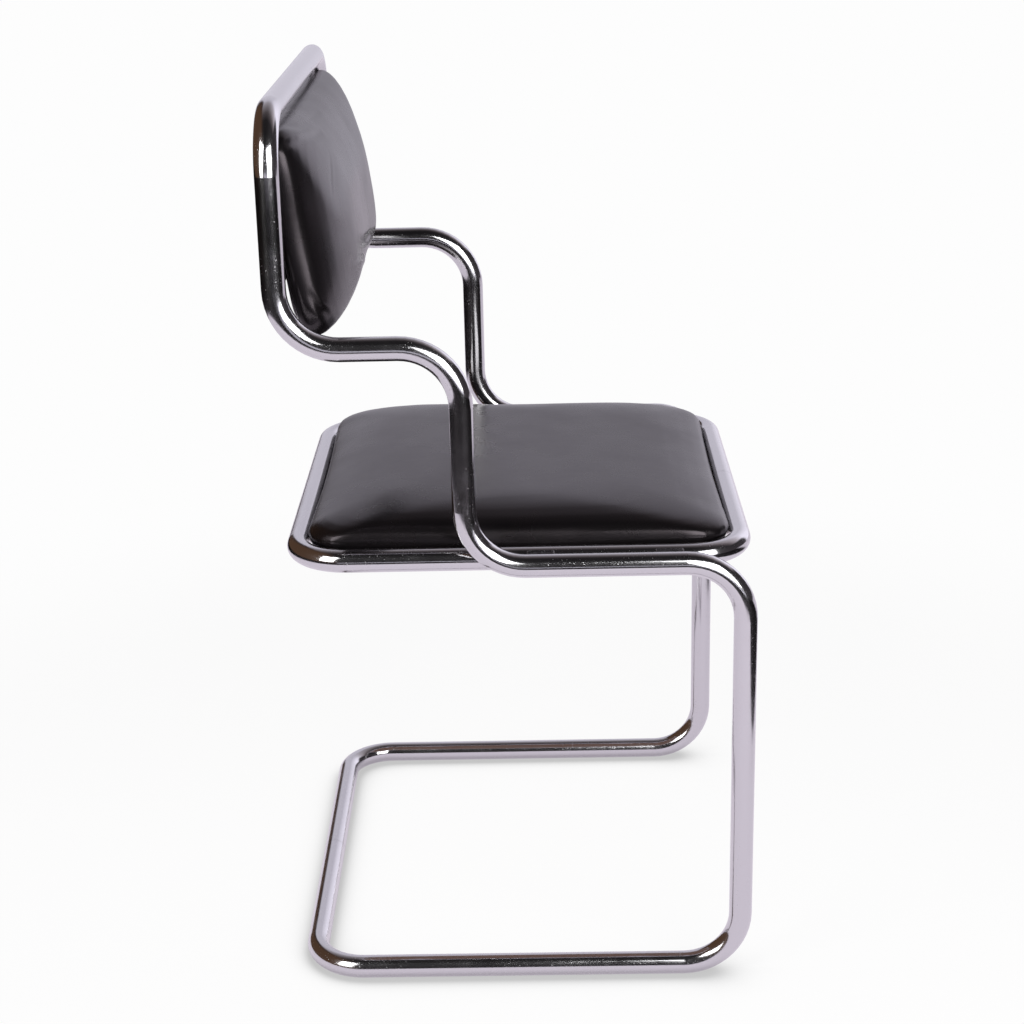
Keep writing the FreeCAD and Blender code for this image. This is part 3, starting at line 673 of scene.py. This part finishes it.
# %% Seat cushion
seat_low, seat_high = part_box("seat_cover")
seat_centre = (seat_low + seat_high) / 2
seat_half = (seat_high - seat_low) / 2
seat_corner = 38 * MM
seat_corner_growth = 0.2
seat_side_height = 20.5 * MM
seat_bottom_edge = 5 * MM
seat_lower_inset = 1.6 * MM
seat_side = ((7.5 * MM, 0.6 * MM), (11 * MM, 1.8 * MM), (15 * MM, 3.4 * MM))  # height, overhang
seat_overhang = 4.5 * MM
seat_lowered = 9 * MM
seat_held_to, seat_free_over = 8 * MM, 10 * MM
seat_reach_across, seat_fullness_across = 75 * MM, 2.5
seat_reach_along, seat_fullness_along = 150 * MM, 2.2
seat_draw = 2.5 * MM
seat_lean = math.radians(1.0)
foam_shrink = 0.3 * MM
swell_room = 1 * MM
voxel_size = 5 * MM
largest_corner = 0.8  # of the shorter half side


def rolled_over(share, fullness):
    """How far in the crown has come at a share of its rise, as a share of its reach."""
    return 1 - max(0.0, 1 - share ** fullness) ** (1 / fullness)


def seat_rings(crown_rise, steps=18):
    """Rings of the seat: round the bottom edge, up the side and over the crown."""
    levels = []
    for step in range(4):
        angle = math.pi / 2 * step / 3
        inset = seat_bottom_edge * (1 - math.sin(angle)) + seat_lower_inset
        levels.append((seat_bottom_edge * (1 - math.cos(angle)), inset, inset, 0.0))
    for height, overhang in seat_side:
        levels.append((height, -overhang, -overhang, 0.0))
    for step in range(steps + 1):
        share = math.sin(math.pi / 2 * step / steps)
        across = rolled_over(share, seat_fullness_across)
        along = rolled_over(share, seat_fullness_along)
        inset_x = (seat_reach_across + seat_overhang) * across - seat_overhang
        inset_y = (seat_reach_along + seat_overhang) * along - seat_overhang
        levels.append((seat_side_height + crown_rise * share, inset_x, inset_y, 1.0))
    rings = []
    for height, inset_x, inset_y, drawn in levels:
        half_x = seat_half.x - foam_shrink - inset_x
        half_y = seat_half.y - foam_shrink - inset_y
        radius = seat_corner + seat_corner_growth * (inset_x + inset_y) / 2
        radius = min(radius, largest_corner * min(half_x, half_y))
        draw = drawn * seat_draw * half_y / seat_half.y
        lean = math.tan(seat_lean) * max(0.0, height - seat_side_height) / crown_rise
        points = ring(half_x, half_y, radius, height, draw)
        rings.append([(x, y + seat_centre.y, z + seat_low.z + y * lean) for x, y, z in points])
    return rings


seat_crown_rise = seat_high.z - seat_low.z - seat_side_height
seat = even_skin(closed_skin("seat_cushion", seat_rings(seat_crown_rise - swell_room)), voxel_size)
points = get_points(seat.data)
above_board = (points[:, 2] - seat_low.z - seat_held_to) / seat_free_over
inflate(seat, 1 - np.clip(above_board, 0, 1), pressure=4.0, stretch=0.0, cap=2.5 * MM)
fit_height(seat, seat_low.z + seat_side_height, seat_high.z - seat_lowered)
subdivided(seat)
seat.data.materials.clear()
seat.data.materials.append(leather)
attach(seat, "root")
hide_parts("seat_cover", "seat_foam")
points = get_points(seat.data)
print("seat cushion: low", points.min(0).round(4), "high", points.max(0).round(4))

# %% [markdown]
# ## The back pad
#
# The back pad is a thick pillow on its own board. It is built lying down, front side up. Its rear is
# flat, its edge is a round roll, and its front is a wedge 55 mm deep that is fullest low down, so the
# rings move towards the lower edge as they rise. Then it is leaned back between the uprights and hung
# under the top rail. Its top is 3 mm higher than the measured cover's, because the picture shows no gap
# under the rail. Folds are pressed where the hide pulls over the fullest part and round the corners.

# %% Back pad
tube_diameter = 22 * MM
gap_under_rail = 11 * MM
gap_to_uprights = 6.5 * MM
rail_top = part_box("frame_tube")[1].z
upright_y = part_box("frame_tube")[1].y - tube_diameter / 2
back_low, back_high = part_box("back_cover")
back_tilt = math.radians(8.4)
back_half_x = (back_high.x - back_low.x) / 2
measured_half_height = 91.5 * MM
back_half_height = 94.5 * MM
back_lift = 3 * MM
back_plane_y = upright_y - gap_to_uprights
back_centre_z = rail_top - tube_diameter - gap_under_rail - measured_half_height
back_corner = 27 * MM
back_corner_growth = 0.36
back_roll = 8 * MM
back_edge_depth = 15 * MM
back_crown_rise = 40 * MM
back_crown_fullness = 1.72
back_reach_across = 114 * MM
back_reach_upper = 81 * MM
back_reach_lower = 40 * MM
back_draw = 2 * MM
back_held_to, back_free_over = 4 * MM, 8 * MM
back_folds = (  # path, width, depth and ridge in mm, on the pad as it lies front side up
    ([(75, -60, 45), (22, -50, 50), (-13, -47, 50), (-50, -42, 50)], 3.0, 1.3, 0.9),
    ([(48, -66, 42), (-28, -58, 46), (-87, -46, 46), (-155, -38, 36)], 4.0, 1.0, 0.6),
    ([(-126, 58, 44), (-143, 48, 40), (-158, 37, 38), (-168, 25, 34)], 2.0, 0.4, 0.2),
    ([(-222, 84, 20), (-190, 80, 30), (-150, 76, 36), (-100, 72, 40)], 4.0, 1.4, 0.9),
    ([(-200, 90, 16), (-150, 87, 26), (-90, 84, 30), (-20, 82, 32)], 3.0, 0.8, 0.5),
    ([(-226, -45, 17), (-224, -62, 22), (-212, -72, 30)], 3.0, 1.0, 0.6),
    ([(-226, -58, 10), (-220, -78, 16), (-205, -86, 22)], 2.5, 0.8, 0.4),
)


def back_rings(crown_rise, rear_steps=4, front_steps=16):
    """Rings of the back pad, from its flat rear round its edge to the front of its crown."""
    power = 2 / back_crown_fullness
    levels = []
    for step in range(rear_steps):
        angle = math.pi / 2 * step / rear_steps
        levels.append((back_roll * (1 - math.cos(angle)), back_roll * (1 - math.sin(angle)), 0.0, 0.0))
    levels.append((back_roll, 0.0, 0.0, 0.5))
    for step in range(front_steps + 1):
        angle = min(math.pi / 2 * step / front_steps, math.pi / 2 - 1e-6)
        height = back_edge_depth + crown_rise * math.sin(angle) ** power
        levels.append((height, 0.0, 1 - math.cos(angle) ** power, 1.0))
    reach = (back_reach_upper + back_reach_lower) / 2
    drop = (back_reach_upper - back_reach_lower) / 2
    rings = []
    for height, roll, share, drawn in levels:
        inset = back_reach_across * share
        half_x = back_half_x - foam_shrink - roll - inset
        half_y = back_half_height - foam_shrink - roll - reach * share
        radius = min(back_corner + back_corner_growth * inset, largest_corner * min(half_x, half_y))
        points = ring(half_x, half_y, radius, height, drawn * back_draw * half_y / back_half_height)
        rings.append([(x, y + back_lift - drop * share, z) for x, y, z in points])
    return rings


def lean_back(piece):
    """Stands a piece that was made lying down against the uprights."""
    turn = Matrix.Rotation(math.pi / 2 - back_tilt, 4, "X")
    piece.data.transform(Matrix.Translation((0.0, back_plane_y, back_centre_z)) @ turn)


back_pad = even_skin(closed_skin("back_pad", back_rings(back_crown_rise - swell_room)), voxel_size)
points = get_points(back_pad.data)
in_front_of_board = (points[:, 2] - back_held_to) / back_free_over
inflate(back_pad, 1 - np.clip(in_front_of_board, 0, 1), pressure=4.0, stretch=0.0, cap=1.5 * MM)
fit_height(back_pad, back_edge_depth, back_edge_depth + back_crown_rise)
subdivided(back_pad)
press_folds(back_pad, back_folds)
lean_back(back_pad)
back_pad.data.materials.clear()
back_pad.data.materials.append(leather)
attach(back_pad, "root")
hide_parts("back_cover", "back_foam")
points = get_points(back_pad.data)
print("back pad: low", points.min(0).round(4), "high", points.max(0).round(4))

# %% [markdown]
# ## The covers that nobody sees
#
# Behind the back pad a thin covered panel hides the staples, with soft edges and hardly any filling.
# Under the seat a brown bottoming cloth is stretched over the board's edge. It lies on the four
# tabs and sags a little between them.

# %% Rear panel
panel_inset = 16 * MM
panel_corner = 24 * MM
panel_edge = (  # depth and inset in mm
    (0.2, 0.0), (2.0, 0.0), (2.8, 0.4), (3.3, 1.0), (3.5, 1.5), (3.5, 8.0),
)
rings = []
for depth, inset in panel_edge:
    half_x = back_half_x - panel_inset - inset * MM
    half_y = measured_half_height - panel_inset - inset * MM
    rings.append(ring(half_x, half_y, panel_corner - inset * MM, -depth * MM, 0.0))
panel = closed_skin("rear_panel", [list(reversed(level)) for level in rings])
panel.data.shade_smooth()
lean_back(panel)
panel.data.materials.append(leather)
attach(panel, "root")
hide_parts("back_rear_panel")
print("rear panel:", len(panel.data.vertices), "points")

# %% Bottoming cloth
cloth_low, cloth_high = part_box("seat_dust_cover")
cloth_half_x = (cloth_high.x - cloth_low.x) / 2
cloth_half_y = (cloth_high.y - cloth_low.y) / 2
cloth_corner = 28 * MM
cloth_sag = 2.0 * MM
ripple_height, ripple_size = 0.25 * MM, 40 * MM
cloth_ring_count = 24
cloth_rings = []
for step in range(1, cloth_ring_count + 1):
    share = step / cloth_ring_count
    half_x, half_y = cloth_half_x * share, cloth_half_y * share
    level = []
    for x, y, z in ring(half_x, half_y, cloth_corner * share, 0.0, 0.0):
        across, along = x / cloth_half_x, y / cloth_half_y
        sag = cloth_sag * max(0.0, 1 - across ** 2) ** 2 * max(0.0, 1 - along ** 2)
        ripple = ripple_height * noise.noise(Vector((x, y, 0.0)) / ripple_size) * max(0.0, 1 - across ** 4)
        level.append((x, y, (cloth_low.z + cloth_high.z) / 2 - sag + ripple))
    cloth_rings.append(level)
cloth = closed_skin("bottoming_cloth", cloth_rings)
edit = bmesh.new()
edit.from_mesh(cloth.data)
edit.faces.ensure_lookup_table()
bmesh.ops.delete(edit, geom=[edit.faces[-1]], context="FACES_ONLY")
edit.to_mesh(cloth.data)
edit.free()
cloth.data.shade_smooth()
cloth.data.materials.append(dust_cloth)
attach(cloth, "root")
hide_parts("seat_dust_cover")
print("bottoming cloth: %.0f x %.0f mm" % (2000 * cloth_half_x, 2000 * cloth_half_y))
